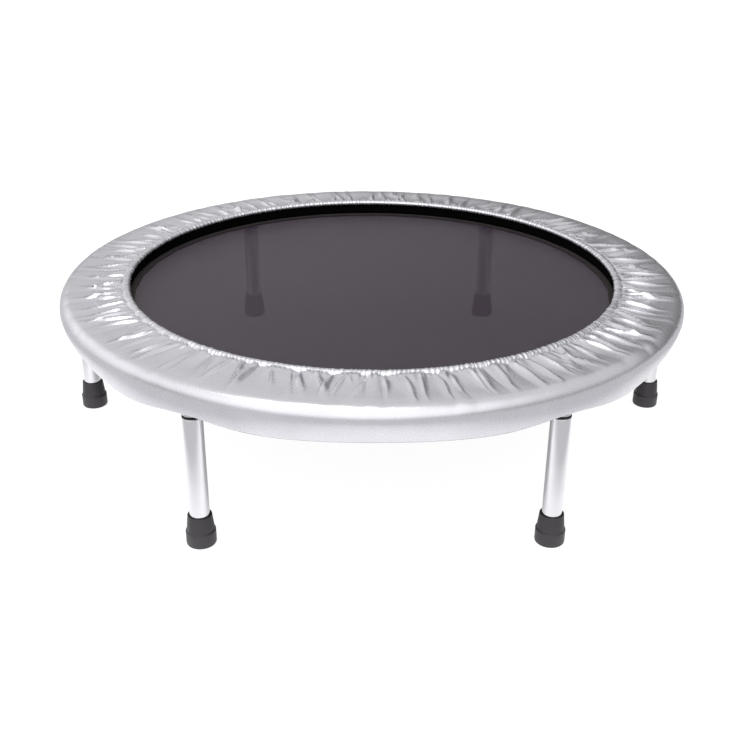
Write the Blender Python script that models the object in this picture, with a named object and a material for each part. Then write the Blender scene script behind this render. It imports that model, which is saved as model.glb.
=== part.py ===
"""Mini trampoline (rebounder): a steel ring on six screw-in legs, with a sprung mat and a gathered skirt.

Metres, +Z up. The origin is on the floor below the middle of the mat, and the first leg stands at -120 degrees.
Each height follows from the floor upwards: foot, leg, washer, boss, ring. The mat and the skirt follow the ring,
and the springs' length sets the mat's size inside it.
"""

from math import acos, atan2, cos, hypot, pi, radians, sin, sqrt

import bmesh
import bpy
from mathutils import Matrix, Vector

# Gap left between two pieces that touch.
TOUCH = 0.0003

# Frame ring: one bent tube, with a threaded boss over each leg and a wire loop for each spring welded on.
RING_RADIUS = 0.441
RING_TUBE_DIAMETER = 0.030
RING_WALL = 0.0015
BOSS_DIAMETER = 0.0240
BOSS_DROP = 0.0124
BOSS_CHAMFER = 0.0015
LOOP_WIRE = 0.0026
LOOP_WIDTH = 0.0140
LOOP_REACH = 0.0055

# Legs: plain tubes, closed at the top by a plug with a threaded stud, each on a rubber foot.
LEG_COUNT = 6
FIRST_LEG_DEG = -120.0
LEG_LENGTH = 0.1737
LEG_DIAMETER = 0.0254
LEG_WALL = 0.0015
LEG_TOP_CHAMFER = 0.0008
PLUG_DEPTH = 0.008
STUD_DIAMETER = 0.0095
STUD_LENGTH = 0.018
STUD_CHAMFER = 0.001
THREAD_CLEARANCE = 0.0005
WASHER_THICKNESS = 0.0015
WASHER_DIAMETER = 0.0250
WASHER_CLEARANCE = 0.0006

# Rubber feet: a chamfered base below a flared collar.
FOOT_SOLE = 0.006
FOOT_HEIGHT = 0.042
FOOT_BASE_DIAMETER = 0.038
FOOT_BASE_HEIGHT = 0.019
FOOT_CHAMFER = 0.002
FOOT_SHOULDER = 0.0015
COLLAR_FOOT_DIAMETER = 0.0350
COLLAR_TOP_DIAMETER = 0.0308

# Springs: closed coils with an open hook at each end. The length is from the middle of one hook to the other's.
SPRING_COUNT = 36
SPRING_LENGTH = 0.0448
SPRING_WIRE = 0.0025
SPRING_BODY_DIAMETER = 0.011
SPRING_SHOULDER = 0.0022
HOOK_RADIUS = 0.0036
HOOK_POINTS = 4
HOOK_STEP_DEG = 48.0
HOOK_NECK = 0.0080

# Jumping mat: a mesh with a corner at each spring, bound by a folded edge band.
MAT_DROP = 0.0036
MAT_THICKNESS = 0.0008
BAND_WIDTH = 0.0115
BAND_THICKNESS = 0.0010

# Rings on the mat's edge, in webbing tabs sewn under the band.
MAT_RING_WIRE = 0.0025
MAT_RING_BASE_WIDTH = 0.0220
MAT_RING_TIP_WIDTH = 0.0080
MAT_RING_LENGTH = 0.0085
TAB_WIDTH = 0.0140
TAB_THICKNESS = 0.0010
TAB_TAIL = 0.0100
TAB_SEAM = 0.0007

# Skirt: top sheet from the hem to the ring, round shoulder over the ring, side drawn in below it.
SKIRT_THICKNESS = 0.0008
HEM_OVERLAP = 0.0042
HEM_HEIGHT = 0.0076
HEM_RISE = 0.0008
HEM_FOLD = 0.0090
GATHER_FROM_HEM = 0.0190
GATHER_DEPTH = 0.0022
SKIRT_SIDE_HEIGHT = 0.0305
EDGE_DRAW_IN = 0.0160
HEM_ELASTIC_WIDTH = 0.0030
HEM_ELASTIC_HEIGHT = 0.0043
EDGE_ELASTIC_THICKNESS = 0.0016
EDGE_ELASTIC_HEIGHT = 0.0020

# Facets: the big rings have two for each spring.
BIG_RING_STEPS = 2 * SPRING_COUNT
RING_TUBE_STEPS = 12
RING_BORE_STEPS = 6
ROUND_STEPS = 16
STUD_STEPS = 12
SHOULDER_STEPS = 3
SPRING_STEPS = 4
WIRE_STEPS = 4

# Heights, from the floor up.
LEG_BOTTOM = FOOT_SOLE + TOUCH
LEG_TOP = LEG_BOTTOM + LEG_LENGTH
STUD_TOP = LEG_TOP + STUD_LENGTH
WASHER_BOTTOM = LEG_TOP + TOUCH
BOSS_BOTTOM = WASHER_BOTTOM + WASHER_THICKNESS + TOUCH
RING_TUBE_RADIUS = RING_TUBE_DIAMETER / 2
RING_HEIGHT = BOSS_BOTTOM + BOSS_DROP + RING_TUBE_RADIUS
MAT_HEIGHT = RING_HEIGHT - MAT_DROP

# Each hook bears on its bar: how far the hook's middle lies beyond the bar's, towards the spring's body.
HOOK_INSIDE = HOOK_RADIUS * cos(radians(HOOK_STEP_DEG / 2)) - SPRING_WIRE / 2
MAT_HOOK_SET = HOOK_INSIDE - MAT_RING_WIRE / 2 - TOUCH
LOOP_HOOK_SET = HOOK_INSIDE - LOOP_WIRE / 2 - TOUCH

# Radii of the sprung edge, from the ring inwards to the mat and the hem over it.
LOOP_END_RADIUS = RING_RADIUS - sqrt((RING_TUBE_RADIUS - RING_WALL / 2) ** 2 - MAT_DROP**2)
LOOP_BAR_RADIUS = LOOP_END_RADIUS - LOOP_REACH
SPRING_START = LOOP_BAR_RADIUS - LOOP_HOOK_SET - SPRING_LENGTH
MAT_RING_TIP_RADIUS = SPRING_START - MAT_HOOK_SET
MAT_RING_RADIUS = MAT_RING_TIP_RADIUS - MAT_RING_LENGTH
BAND_OUTER_RADIUS = MAT_RING_RADIUS - MAT_RING_WIRE / 2 - TAB_THICKNESS
BAND_INNER_RADIUS = BAND_OUTER_RADIUS - BAND_WIDTH
MAT_RADIUS = BAND_OUTER_RADIUS - BAND_THICKNESS - TOUCH
HEM_RADIUS = BAND_OUTER_RADIUS - HEM_OVERLAP
GATHER_RADIUS = HEM_RADIUS + GATHER_FROM_HEM

# The skirt goes over the tube, and its lower edge over whatever stands out furthest at a leg.
COVERED_RADIUS = RING_TUBE_RADIUS + TOUCH
SKIRT_BOTTOM = RING_HEIGHT - SKIRT_SIDE_HEIGHT
LEG_REACH = max(LEG_DIAMETER, WASHER_DIAMETER, BOSS_DIAMETER) / 2
EDGE_RADIUS_AT_LEGS = RING_RADIUS + LEG_REACH + TOUCH + EDGE_ELASTIC_THICKNESS + TOUCH + SKIRT_THICKNESS

STEEL = ((0.62, 0.63, 0.66), 0.35, 1.0)
CHROME = ((0.86, 0.86, 0.88), 0.12, 1.0)
SPRING_STEEL = ((0.55, 0.56, 0.58), 0.30, 1.0)
BLACK_RUBBER = ((0.035, 0.034, 0.036), 0.65, 0.0)
BLACK_PLASTIC = ((0.03, 0.03, 0.03), 0.50, 0.0)
MAT_MESH = ((0.085, 0.072, 0.085), 0.75, 0.0)
WEBBING = ((0.018, 0.016, 0.018), 0.85, 0.0)
SILVER_CLOTH = ((0.66, 0.66, 0.70), 0.38, 0.35)
ELASTIC = ((0.75, 0.75, 0.73), 0.80, 0.0)
SMOOTH_BELOW_DEG = 40.0


def finish_of(name, look):
    """A Principled material from a colour, a roughness and a metallic value."""
    colour, roughness, metallic = look
    made = bpy.data.materials.new(name + "_finish")
    made.use_nodes = True
    shader = made.node_tree.nodes["Principled BSDF"]
    shader.inputs["Base Color"].default_value = (*colour, 1.0)
    shader.inputs["Roughness"].default_value = roughness
    shader.inputs["Metallic"].default_value = metallic
    made.diffuse_color = (*colour, 1.0)
    return made


def mesh_from(name, build, look=None):
    """A closed mesh filled by build(bm), facing out, with its finish and smooth rounds."""
    bm = bmesh.new()
    build(bm)
    bmesh.ops.recalc_face_normals(bm, faces=bm.faces)
    mesh = bpy.data.meshes.new(name)
    bm.to_mesh(mesh)
    bm.free()
    if look:
        mesh.materials.append(finish_of(name, look))
        mesh.shade_smooth()
        mesh.set_sharp_from_angle(angle=radians(SMOOTH_BELOW_DEG))
    return mesh


def place_piece(name, mesh, place=None, parent=None):
    """Puts a mesh into the scene as a piece with its own name."""
    piece = bpy.data.objects.new(name, mesh)
    bpy.context.scene.collection.objects.link(piece)
    piece.parent = parent
    if place:
        piece.matrix_world = place
    return piece


def change_shape(piece, operation, name, build):
    """Adds a hidden shape to the piece, or cuts it out, with a Boolean."""
    other = place_piece(name, mesh_from(name, build))
    other.hide_render = True
    other.display_type = "WIRE"
    made = piece.modifiers.new(name, "BOOLEAN")
    made.operation = operation
    made.solver = "EXACT"
    made.object = other


def outwards_and_down(point):
    """How far a point lies along the skirt's cloth, from the hem out over the ring and down."""
    return hypot(point.co.x, point.co.y) - point.co.z


def bridge(bm, first, second, cloth=False):
    """Faces between two closed rows of points. Those of cloth are halved alike, so that its two sides can't cross."""
    count = len(first)
    for i in range(count):
        j = (i + 1) % count
        corners = [first[i], first[j], second[j], second[i]]
        if not cloth:
            bm.faces.new(corners)
            continue
        if outwards_and_down(first[i]) > outwards_and_down(second[i]):
            corners = corners[1:] + corners[:1]
        bm.faces.new(corners[:3])
        bm.faces.new((corners[0], corners[2], corners[3]))


def join_rows(bm, rows, closed, cloth=False):
    """Faces along the rows: round to the first one again, or with a cap on each end."""
    for first, second in zip(rows, rows[1:]):
        bridge(bm, first, second, cloth)
    if closed:
        bridge(bm, rows[-1], rows[0], cloth)
    else:
        bm.faces.new(rows[0])
        bm.faces.new(rows[-1])


def turned(bm, section, steps, closed=True, start=0.0, place=Matrix(), cloth=False):
    """Turns a section about Z: (radius, height) points, or a function that gives them for each turn."""
    columns = []
    for i in range(steps):
        turn = start + 2 * pi * i / steps
        points = section(turn) if callable(section) else section
        spots = [Vector((radius * cos(turn), radius * sin(turn), height)) for radius, height in points]
        columns.append([bm.verts.new(place @ spot) for spot in spots])
    join_rows(bm, list(zip(*columns)), closed, cloth)


def swept(bm, path, radii, steps, place=Matrix(), loop=False):
    """A bar along a flat path, with a radius of its own at each point."""
    points = [Vector(p) for p in path]
    normal = Vector((0, 0, 0))
    for a, b, c in zip(points, points[1:], points[2:]):
        normal += (b - a).cross(c - b)
    normal.normalize()
    runs = [(b - a).normalized() for a, b in zip(points, points[1:] + points[:1])]
    rows = []
    for i, point in enumerate(points):
        way_in = runs[i - 1] if i or loop else runs[i]
        way_out = runs[i] if i < len(points) - 1 or loop else runs[i - 1]
        middle = (way_in + way_out).normalized()
        side = normal.cross(middle) / middle.dot(way_out)
        row = []
        for k in range(steps):
            angle = 2 * pi * k / steps
            reach = side * (radii[i] * cos(angle)) + normal * (radii[i] * sin(angle))
            row.append(bm.verts.new(place @ (point + reach)))
        rows.append(row)
    join_rows(bm, rows, loop)


def extruded(bm, outline, width, place):
    """An outline of (along, up) points, drawn out to both sides of its plane."""
    sides = [[bm.verts.new(place @ Vector((x, y, z))) for x, z in outline] for y in (-width / 2, width / 2)]
    join_rows(bm, sides, closed=False)


def circle(radius, steps, centre):
    """Points of a circle in a section, as (radius, height)."""
    angles = [2 * pi * k / steps for k in range(steps)]
    return [(centre[0] + radius * cos(angle), centre[1] + radius * sin(angle)) for angle in angles]


def spring_turn(index):
    """The direction of a spring: halfway between two whole steps, so that none crosses a leg."""
    return 2 * pi * (index + 0.5) / SPRING_COUNT


def spring_place(index, radius):
    """The place of a spring's part at this radius in the mat's plane, with X running outwards."""
    return Matrix.Rotation(spring_turn(index), 4, "Z") @ Matrix.Translation((radius, 0, MAT_HEIGHT))


def leg_place(index):
    """The place and the turn of a leg's axis, on the floor."""
    turn = radians(FIRST_LEG_DEG) + 2 * pi * index / LEG_COUNT
    return Matrix.Rotation(turn, 4, "Z") @ Matrix.Translation((RING_RADIUS, 0, 0))


def make_ring():
    """The hollow ring with its bosses and its spring loops. Each boss is coped to the tube and opens into it.

    A boss is turned by half a facet, so that none of its corners falls on a seam of the tube.
    """
    centre = (RING_RADIUS, RING_HEIGHT)

    def tube(bm):
        turned(bm, circle(RING_TUBE_RADIUS, RING_TUBE_STEPS, centre), BIG_RING_STEPS)

    def bosses(bm):
        radius = BOSS_DIAMETER / 2
        section = [
            (radius - BOSS_CHAMFER, BOSS_BOTTOM),
            (radius, BOSS_BOTTOM + BOSS_CHAMFER),
            (radius, RING_HEIGHT),
        ]
        for index in range(LEG_COUNT):
            turned(bm, section, ROUND_STEPS, closed=False, start=pi / ROUND_STEPS, place=leg_place(index))

    def loops(bm):
        half = LOOP_WIDTH / 2
        path = [(LOOP_REACH, -half, 0), (0, -half, 0), (0, half, 0), (LOOP_REACH, half, 0)]
        radii = [LOOP_WIRE / 2] * len(path)
        for index in range(SPRING_COUNT):
            swept(bm, path, radii, WIRE_STEPS, spring_place(index, LOOP_BAR_RADIUS))

    def bore(bm):
        turned(bm, circle(RING_TUBE_RADIUS - RING_WALL, RING_BORE_STEPS, centre), BIG_RING_STEPS)

    def stud_holes(bm):
        radius = STUD_DIAMETER / 2 + THREAD_CLEARANCE
        section = [(radius, WASHER_BOTTOM), (radius, RING_HEIGHT)]
        for index in range(LEG_COUNT):
            turned(bm, section, STUD_STEPS, closed=False, start=pi / STUD_STEPS, place=leg_place(index))

    ring = place_piece("frame_ring", mesh_from("frame_ring", tube, STEEL))
    change_shape(ring, "UNION", "welded_bosses", bosses)
    change_shape(ring, "UNION", "welded_loops", loops)
    change_shape(ring, "DIFFERENCE", "ring_bore", bore)
    change_shape(ring, "DIFFERENCE", "stud_holes", stud_holes)


def washer_shape(bm):
    """The thin dark washer between a leg and its boss."""
    outer = WASHER_DIAMETER / 2
    hole = STUD_DIAMETER / 2 + WASHER_CLEARANCE
    top = WASHER_BOTTOM + WASHER_THICKNESS
    turned(bm, [(hole, WASHER_BOTTOM), (outer, WASHER_BOTTOM), (outer, top), (hole, top)], STUD_STEPS)


def leg_shape(bm):
    """A leg: the tube, open below, with the plug and the stud welded into its top."""
    outer = LEG_DIAMETER / 2
    inner = outer - LEG_WALL
    stud = STUD_DIAMETER / 2
    section = [
        (inner, LEG_TOP - PLUG_DEPTH),
        (inner, LEG_BOTTOM),
        (outer, LEG_BOTTOM),
        (outer, LEG_TOP - LEG_TOP_CHAMFER),
        (outer - LEG_TOP_CHAMFER, LEG_TOP),
        (stud, LEG_TOP),
        (stud, STUD_TOP - STUD_CHAMFER),
        (stud - STUD_CHAMFER, STUD_TOP),
    ]
    turned(bm, section, ROUND_STEPS, closed=False)


def foot_shape(bm):
    """A rubber foot: a wide base, a shoulder and a flared collar round a blind bore."""
    base = FOOT_BASE_DIAMETER / 2
    bore = LEG_DIAMETER / 2 + TOUCH
    section = [
        (base - FOOT_CHAMFER, 0.0),
        (base, FOOT_CHAMFER),
        (base, FOOT_BASE_HEIGHT),
        (COLLAR_FOOT_DIAMETER / 2, FOOT_BASE_HEIGHT + FOOT_SHOULDER),
        (COLLAR_TOP_DIAMETER / 2, FOOT_HEIGHT),
        (bore, FOOT_HEIGHT),
        (bore, FOOT_SOLE),
    ]
    turned(bm, section, ROUND_STEPS, closed=False)


def make_legs():
    """Six legs, each with its washer and its foot, on an empty at its screw axis."""
    leg = mesh_from("screw_leg", leg_shape, CHROME)
    washer = mesh_from("leg_washer", washer_shape, BLACK_PLASTIC)
    foot = mesh_from("rubber_foot", foot_shape, BLACK_RUBBER)
    for index in range(LEG_COUNT):
        number = index + 1
        axis = place_piece("leg_axis_%d" % number, None, leg_place(index))
        place_piece("screw_leg_%d" % number, leg, parent=axis)
        place_piece("leg_washer_%d" % number, washer, parent=axis)
        place_piece("rubber_foot_%d" % number, foot, parent=axis)


def spring_shape(bm):
    """A spring from hook to hook: wire, closed body, wire. Zero is the middle of the hook on the mat's side."""
    wire = SPRING_WIRE / 2
    bends = [pi + radians(HOOK_STEP_DEG) * ((HOOK_POINTS - 1) / 2 - k) for k in range(HOOK_POINTS)]
    hook = [(HOOK_RADIUS * cos(bend), HOOK_RADIUS * sin(bend)) for bend in bends] + [(HOOK_NECK, wire)]
    shoulder = HOOK_NECK + SPRING_SHOULDER
    path = [(along, 0, up) for along, up in hook]
    path += [(shoulder, 0, 0), (SPRING_LENGTH - shoulder, 0, 0)]
    path += [(SPRING_LENGTH - along, 0, up) for along, up in reversed(hook)]
    body = SPRING_BODY_DIAMETER / 2
    radii = [wire] * len(hook) + [body, body] + [wire] * len(hook)
    swept(bm, path, radii, SPRING_STEPS)


def make_springs():
    """The extension springs, all alike, each from a ring on the mat to a loop on the frame."""
    spring = mesh_from("spring", spring_shape, SPRING_STEEL)
    for index in range(SPRING_COUNT):
        place_piece("spring_%02d" % (index + 1), spring, spring_place(index, SPRING_START))


def make_mat():
    """The mesh mat with a corner at each spring, and the band folded over its edge."""
    half = MAT_THICKNESS / 2
    slot = half + TOUCH
    face = slot + BAND_THICKNESS
    first_corner = spring_turn(0)

    def mat(bm):
        section = [(MAT_RADIUS, MAT_HEIGHT - half), (MAT_RADIUS, MAT_HEIGHT + half)]
        turned(bm, section, SPRING_COUNT, closed=False, start=first_corner)

    def band(bm):
        section = [
            (BAND_INNER_RADIUS, MAT_HEIGHT - face),
            (BAND_OUTER_RADIUS, MAT_HEIGHT - face),
            (BAND_OUTER_RADIUS, MAT_HEIGHT + face),
            (BAND_INNER_RADIUS, MAT_HEIGHT + face),
            (BAND_INNER_RADIUS, MAT_HEIGHT + slot),
            (MAT_RADIUS + TOUCH, MAT_HEIGHT + slot),
            (MAT_RADIUS + TOUCH, MAT_HEIGHT - slot),
            (BAND_INNER_RADIUS, MAT_HEIGHT - slot),
        ]
        turned(bm, section, SPRING_COUNT, start=first_corner)

    def tabs(bm):
        sleeve = MAT_RING_WIRE / 2 + TAB_THICKNESS
        outline = [
            (-TAB_TAIL, -face - TAB_THICKNESS),
            (sleeve, -face - TAB_THICKNESS),
            (sleeve, sleeve),
            (-sleeve - TAB_SEAM, sleeve),
            (-sleeve - TAB_SEAM, -face + TAB_SEAM),
            (-TAB_TAIL, -face + TAB_SEAM),
        ]
        for index in range(SPRING_COUNT):
            extruded(bm, outline, TAB_WIDTH, spring_place(index, MAT_RING_RADIUS))

    def rings(bm):
        base = MAT_RING_BASE_WIDTH / 2
        tip = MAT_RING_TIP_WIDTH / 2
        path = [(0, -base, 0), (MAT_RING_LENGTH, -tip, 0), (MAT_RING_LENGTH, tip, 0), (0, base, 0)]
        radii = [MAT_RING_WIRE / 2] * len(path)
        for index in range(SPRING_COUNT):
            swept(bm, path, radii, WIRE_STEPS, spring_place(index, MAT_RING_RADIUS), loop=True)

    place_piece("jumping_mat", mesh_from("jumping_mat", mat, MAT_MESH))
    edge = place_piece("mat_edge_band", mesh_from("mat_edge_band", band, WEBBING))
    change_shape(edge, "UNION", "sewn_tabs", tabs)
    change_shape(edge, "UNION", "mat_rings", rings)


def edge_radius(turn):
    """Outer radius of the skirt's lower edge: it goes over the legs and is drawn in midway between them."""
    bay = 0.5 - 0.5 * cos(LEG_COUNT * (turn - radians(FIRST_LEG_DEG)))
    return EDGE_RADIUS_AT_LEGS - EDGE_DRAW_IN * bay


def leaving_angle(turn):
    """The angle on the tube where the cloth leaves it, straight for the lower edge."""
    out = edge_radius(turn) - SKIRT_THICKNESS - RING_RADIUS
    return atan2(-SKIRT_SIDE_HEIGHT, out) + acos(COVERED_RADIUS / hypot(out, SKIRT_SIDE_HEIGHT))


def on_shoulder(reach, angle):
    """A point over the ring's tube, as (radius, height)."""
    return RING_RADIUS + reach * cos(angle), RING_HEIGHT + reach * sin(angle)


def make_skirt():
    """The cover in one sheet: hem folded over its elastic, gathered top, shoulder, and side down to its elastic."""
    wall = SKIRT_THICKNESS
    widest = (pi / 2 - leaving_angle(radians(FIRST_LEG_DEG) + pi / LEG_COUNT)) / SHOULDER_STEPS
    inside = COVERED_RADIUS / cos(widest / 2)
    outside = inside + wall
    top = RING_HEIGHT + outside
    hem_top = top + HEM_RISE
    hem_bottom = hem_top - HEM_HEIGHT

    def gather(turn):
        return GATHER_DEPTH * cos(SPRING_COUNT * turn)

    def skirt_section(turn):
        leave = leaving_angle(turn)
        angles = [pi / 2 + (leave - pi / 2) * k / SHOULDER_STEPS for k in range(SHOULDER_STEPS + 1)]
        edge = edge_radius(turn)
        fold_end = [(HEM_RADIUS + HEM_FOLD, hem_bottom + wall / 2)]
        outer = [(HEM_RADIUS, hem_bottom), (HEM_RADIUS, hem_top), (GATHER_RADIUS, top + gather(turn))]
        outer += [on_shoulder(outside, angle) for angle in angles] + [(edge, SKIRT_BOTTOM)]
        inner = [(HEM_RADIUS + wall, hem_bottom + wall), (HEM_RADIUS + wall, hem_top - wall)]
        inner += [(GATHER_RADIUS, top - wall + gather(turn))]
        inner += [on_shoulder(inside, angle) for angle in angles] + [(edge - wall, SKIRT_BOTTOM)]
        return fold_end + outer + inner[::-1]

    def edge_elastic_section(turn):
        leave_radius, leave_height = on_shoulder(inside, leaving_angle(turn))
        low = edge_radius(turn) - wall - TOUCH
        lean = (leave_radius - TOUCH - low) / (leave_height - SKIRT_BOTTOM)
        high = low + lean * EDGE_ELASTIC_HEIGHT
        raised = SKIRT_BOTTOM + EDGE_ELASTIC_HEIGHT
        thick = EDGE_ELASTIC_THICKNESS
        return [(low - thick, SKIRT_BOTTOM), (low, SKIRT_BOTTOM), (high, raised), (high - thick, raised)]

    def skirt(bm):
        turned(bm, skirt_section, BIG_RING_STEPS, cloth=True)

    def hem_elastic(bm):
        inner = HEM_RADIUS + wall + TOUCH
        outer = inner + HEM_ELASTIC_WIDTH
        low = hem_bottom + wall + TOUCH
        high = low + HEM_ELASTIC_HEIGHT
        turned(bm, [(inner, low), (outer, low), (outer, high), (inner, high)], BIG_RING_STEPS)

    def edge_elastic(bm):
        turned(bm, edge_elastic_section, BIG_RING_STEPS, cloth=True)

    place_piece("skirt_cover", mesh_from("skirt_cover", skirt, SILVER_CLOTH))
    place_piece("skirt_hem_elastic", mesh_from("skirt_hem_elastic", hem_elastic, ELASTIC))
    place_piece("skirt_edge_elastic", mesh_from("skirt_edge_elastic", edge_elastic, ELASTIC))


def main():
    for old in list(bpy.data.objects):
        bpy.data.objects.remove(old)
    make_ring()
    make_legs()
    make_springs()
    make_mat()
    make_skirt()
    bpy.context.view_layer.update()


main()
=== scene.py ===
"""Looks of a mini trampoline: gathered silver skirt, sprung mesh mat, bright screw-in legs and rubber feet.

Metres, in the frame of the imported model: +Z up, the origin on the floor below the middle of the mat.
"""

from math import cos, hypot, pi, radians, sin, sqrt

import bpy
import numpy as np
from mathutils import Matrix, Vector


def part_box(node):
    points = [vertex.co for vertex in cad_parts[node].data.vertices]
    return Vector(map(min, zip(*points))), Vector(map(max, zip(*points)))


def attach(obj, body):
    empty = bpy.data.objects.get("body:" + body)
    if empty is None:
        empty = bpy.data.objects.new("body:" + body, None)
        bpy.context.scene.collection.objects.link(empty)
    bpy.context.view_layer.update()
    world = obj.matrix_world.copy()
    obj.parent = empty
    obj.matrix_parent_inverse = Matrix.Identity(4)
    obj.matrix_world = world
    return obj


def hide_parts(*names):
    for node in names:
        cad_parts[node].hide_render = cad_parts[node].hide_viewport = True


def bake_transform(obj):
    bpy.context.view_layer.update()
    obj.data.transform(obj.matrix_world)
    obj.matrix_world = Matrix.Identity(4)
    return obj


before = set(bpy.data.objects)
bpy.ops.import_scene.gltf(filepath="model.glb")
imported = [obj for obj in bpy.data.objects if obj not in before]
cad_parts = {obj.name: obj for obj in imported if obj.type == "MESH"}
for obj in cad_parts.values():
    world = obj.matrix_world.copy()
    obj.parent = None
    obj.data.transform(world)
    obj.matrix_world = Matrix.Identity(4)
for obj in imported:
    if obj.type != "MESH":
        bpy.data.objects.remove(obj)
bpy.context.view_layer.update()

# The photograph's view: the camera's place, its pitch, pan and roll, and a lens for a sensor of this width.
CAMERA_PLACE = (-0.0275, -1.4597, 0.7496)
CAMERA_PITCH_DEG = 25.589
CAMERA_PAN_DEG = 1.287
CAMERA_ROLL_DEG = 0.516
CAMERA_LENS = 48.99
CAMERA_SENSOR = 36.0

# The room's brightness from the horizon (0) to straight up (1).
WALL_LEVELS = ((0.0, 0.28), (0.20, 0.48), (0.34, 0.66), (0.50, 0.71), (0.80, 0.74), (1.0, 0.74))

# The floor's own glow, the share of it that is left below the object, and the distances from the middle
# between which it rises to its full strength and then fades out. The camera sees an even white.
FLOOR_GLOW = 0.74
GLOW_BELOW = 0.4
GLOW_RISES = (0.32, 0.43)
GLOW_FADES = (0.47, 0.74)
FLOOR_SEEN = 0.93

LEG_COUNT = 6
FIRST_LEG_DEG = -120.0
SPRING_COUNT = 36

# The least gap between two pieces, and the distance under which two points are one.
TOUCH = 0.0003
JOIN_BELOW = 0.00001

# Springs and the wire loops that they hook into.
SPRING_WIRE = 0.0024
SPRING_BODY_DIAMETER = 0.0108
HOOK_RADIUS = 0.0036
HOOK_NECK = 0.0076
COIL_TURNS = 12
COIL_POINTS = 14
MAT_RING_WIRE = 0.0025
MAT_RING_LENGTH = 0.0085
MAT_RING_BASE_WIDTH = 0.0220
MAT_RING_TIP_WIDTH = 0.0080
LOOP_WIRE = 0.0026
LOOP_WIDTH = 0.0140
LOOP_REACH = 0.0055
WIRE_BEND = 0.0026

# Frame ring, legs, studs, bosses and washers.
RING_WALL = 0.0015
LEG_WALL = 0.0015
LEG_LIP = 0.0009
STUD_RADIUS = 0.0042
STUD_PITCH = 0.0015
THREAD_DEPTH = 0.0006
BOSS_DIAMETER = 0.0240
BOSS_CHAMFER = 0.0015
STUD_HOLE_RADIUS = 0.00525
WELD_BEAD = 0.0013

# Mat, the band folded over its edge, and the webbing tabs.
MAT_THICKNESS = 0.0006
BAND_THICKNESS = 0.0010
BAND_WIDTH = 0.0115
BAND_EDGE = 0.0018
TAB_WIDTH = 0.0138
TAB_THICKNESS = 0.0010
TAB_TAIL = 0.0100

# Skirt: its cloth and the near-black sheet under the hem that is painted shade, how far it stands off the
# ring and the legs, and the casing round the hem's elastic. SHIRRED says how far from the casing's seam the
# fine shirring starts to fade and ends.
CLOTH = 0.0006
LINING = 0.0005
OFF_RING = 0.0009
OFF_LEGS = 0.0030
CASING_WIDTH = 0.0110
CASING_HEIGHT = 0.0076
HEM_RISE = 0.0050
HEM_DRAW_IN = 0.0030
SHIRRED = (0.026, 0.040)

# The skirt's side is rounded out by an angle at the shoulder. Between the legs its lower edge is drawn in and
# drops, and over each leg it lifts.
SIDE_SWELL = 0.18
EDGE_DRAW_IN = 0.0120
EDGE_DROP = 0.0015
EDGE_LIFT = 0.0098
EDGE_LIFT_REACH = 0.0660

# How many points or faces run round a piece.
SKIRT_COLUMNS = 1728
RING_STEPS = 216
ROUND_STEPS = 64
TUBE_SIDES = 32
WELD_POINTS = 48


def low_high(node):
    """The lowest and the highest corner of a node."""
    low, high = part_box(node)
    return Vector(low), Vector(high)


def radii_of(node):
    """The least and the greatest distance of a node's points from the middle axis."""
    reach = [hypot(point.co.x, point.co.y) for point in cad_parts[node].data.vertices]
    return min(reach), max(reach)


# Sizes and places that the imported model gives.
LEG_LOW, LEG_HIGH = low_high("screw_leg_3")
LEG_RADIUS = (LEG_HIGH.x - LEG_LOW.x) / 2
RING_RADIUS = (LEG_HIGH.x + LEG_LOW.x) / 2
RING_LOW, RING_HIGH = low_high("frame_ring")
TUBE_RADIUS = RING_HIGH.x - RING_RADIUS
RING_HEIGHT = RING_HIGH.z - TUBE_RADIUS
WASHER_LOW, WASHER_HIGH = low_high("leg_washer_3")
LEG_TOP = WASHER_LOW.z - TOUCH
FOOT_LOW, FOOT_HIGH = low_high("rubber_foot_3")
MAT_LOW, MAT_HIGH = low_high("jumping_mat")
MAT_HEIGHT = (MAT_LOW.z + MAT_HIGH.z) / 2
MAT_RADIUS = radii_of("jumping_mat")[1]
BAND_OUTER = MAT_RADIUS + TOUCH + BAND_THICKNESS
MAT_RING_RADIUS = BAND_OUTER + TAB_THICKNESS + MAT_RING_WIRE / 2
SPRING_INNER, SPRING_OUTER = radii_of("spring_01")
HEM_RADIUS = radii_of("skirt_cover")[0]
SKIRT_LOW = low_high("skirt_cover")[0]
LOOP_END_RADIUS = RING_RADIUS - sqrt((TUBE_RADIUS - RING_WALL / 2) ** 2 - (RING_HEIGHT - MAT_HEIGHT) ** 2)
LOOP_BAR_RADIUS = LOOP_END_RADIUS - LOOP_REACH


def leg_place(index):
    """The place and the turn of a leg's axis, on the floor."""
    turn = radians(FIRST_LEG_DEG) + 2 * pi * index / LEG_COUNT
    return Matrix.Rotation(turn, 4, "Z") @ Matrix.Translation((RING_RADIUS, 0, 0))


def spring_place(index, radius):
    """The place of a part on a spring's line, at a radius in the mat's plane, with X outwards."""
    turn = 2 * pi * (index + 0.5) / SPRING_COUNT
    return Matrix.Rotation(turn, 4, "Z") @ Matrix.Translation((radius, 0, MAT_HEIGHT))


# Modelling, as by hand: an outline is drawn, then spun, filled or drawn out.


def select_only(piece):
    """Makes a piece the only selected and the active one."""
    bpy.ops.object.select_all(action="DESELECT")
    piece.select_set(True)
    bpy.context.view_layer.objects.active = piece


def finished(piece, name, finish, smooth_below_deg=40.0):
    """Names a modelled piece, puts its place into its mesh, gives it its finish and smooths its rounds."""
    select_only(piece)
    bpy.ops.object.transform_apply()
    bpy.ops.object.shade_smooth_by_angle(angle=radians(smooth_below_deg))
    piece.name = name
    piece.data.name = name
    piece.data.materials.clear()
    piece.data.materials.append(finish)
    return piece


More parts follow.
